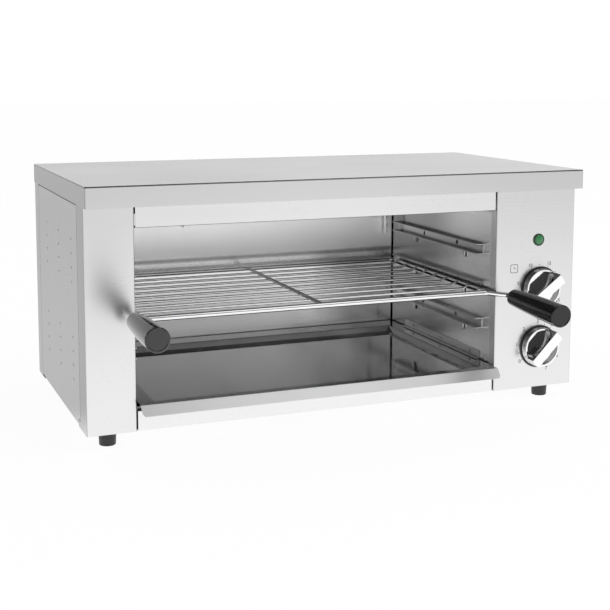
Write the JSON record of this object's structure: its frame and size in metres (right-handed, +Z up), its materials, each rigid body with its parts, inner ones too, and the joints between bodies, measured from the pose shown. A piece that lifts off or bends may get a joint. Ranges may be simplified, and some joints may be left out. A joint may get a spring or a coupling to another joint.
{
  "type": "cheese melter",
  "caption": "Countertop cheese melter: steel cabinet with an open front, heating elements under its roof, a sliding wire rack, a pull-out crumb tray, and a panel with timer and power knobs.",
  "frame": {"origin": "bottom centre of the whole object's box, rack grips and cable gland included, on the surface that the feet stand on", "axes": "+X to the right as seen from the front, towards the control panel; +Y to the rear; +Z up"},
  "size_m": [0.6, 0.4366, 0.283],
  "materials": {
    "case_steel": "brushed",
    "cavity_steel": "brushed",
    "tray_steel": "mill",
    "runner_steel": "brushed",
    "rack_plate": "bright plated",
    "grip_black": "moulded gloss",
    "element_sheath": "oxidised",
    "ceramic": "unglazed",
    "terminal_brass": "plain",
    "zinc_fastener": "zinc plated",
    "knob_chrome": "bright",
    "bezel_black": "gloss",
    "switch_case": "moulded",
    "lamp_black": "gloss",
    "lamp_green": "clear moulded",
    "gland_black": "moulded",
    "wire_sleeve": "silicone",
    "foot_rubber": "moulded"
  },
  "bodies": {
    "cabinet": {"back_wall": "cavity_steel", "base_panel": "case_steel", "bottom_rail": "case_steel", "cable_gland": "gland_black", "cavity_floor": "cavity_steel", "ceiling_reflector": "cavity_steel", "control_nuts": "zinc_fastener", "control_panel": "case_steel", "earth_stud": "zinc_fastener", "element_ferrules": "zinc_fastener", "element_hanger_left": "cavity_steel", "element_hanger_right": "cavity_steel", "element_insulators": "ceramic", "element_links": "terminal_brass", "element_terminals": "zinc_fastener", "foot_front_left": "foot_rubber", "foot_front_right": "foot_rubber", "foot_rear_left": "foot_rubber", "foot_rear_right": "foot_rubber", "foot_screws": "zinc_fastener", "heating_element_1": "element_sheath", "heating_element_2": "element_sheath", "heating_element_3": "element_sheath", "lamp_holder": "lamp_black", "lamp_lens": "lamp_green", "left_column": "case_steel", "left_runner_1": "runner_steel", "left_runner_2": "runner_steel", "left_runner_3": "runner_steel", "left_side_panel": "case_steel", "left_tray_guide": "runner_steel", "left_wall": "cavity_steel", "lid": "case_steel", "panel_screws": "zinc_fastener", "power_bezel": "bezel_black", "power_regulator": "switch_case", "rear_panel": "case_steel", "right_runner_1": "runner_steel", "right_runner_2": "runner_steel", "right_runner_3": "runner_steel", "right_side_panel": "case_steel", "right_tray_guide": "runner_steel", "right_wall": "cavity_steel", "terminal_block": "switch_case", "terminal_screws": "terminal_brass", "timer_bezel": "bezel_black", "timer_body": "switch_case", "top_rail": "case_steel", "wiring": "wire_sleeve"},
    "rack": {"rack_front_rod": "rack_plate", "rack_frame": "rack_plate", "rack_centre_bar": "rack_plate", "rack_wires": "rack_plate", "left_grip": "grip_black", "right_grip": "grip_black"},
    "tray": {"crumb_tray": "tray_steel"},
    "timer_dial": {"timer_knob": "knob_chrome", "timer_spindle": "zinc_fastener"},
    "power_dial": {"power_knob": "knob_chrome", "power_spindle": "zinc_fastener"}
  },
  "joints": [
    {"name": "rack_slide", "type": "slide", "parent": "cabinet", "child": "rack", "axis": [0, -1, 0], "range_m": [0, 0.2]},
    {"name": "tray_slide", "type": "slide", "parent": "cabinet", "child": "tray", "axis": [0, -1, 0], "range_m": [0, 0.2]},
    {"name": "timer_turn", "type": "hinge", "parent": "cabinet", "child": "timer_dial", "pos_m": [0.253, -0.09357, 0.14], "axis": [0, 1, 0], "range_deg": [0, 300]},
    {"name": "power_turn", "type": "hinge", "parent": "cabinet", "child": "power_dial", "pos_m": [0.253, -0.09357, 0.068], "axis": [0, 1, 0], "range_deg": [0, 280]}
  ]
}
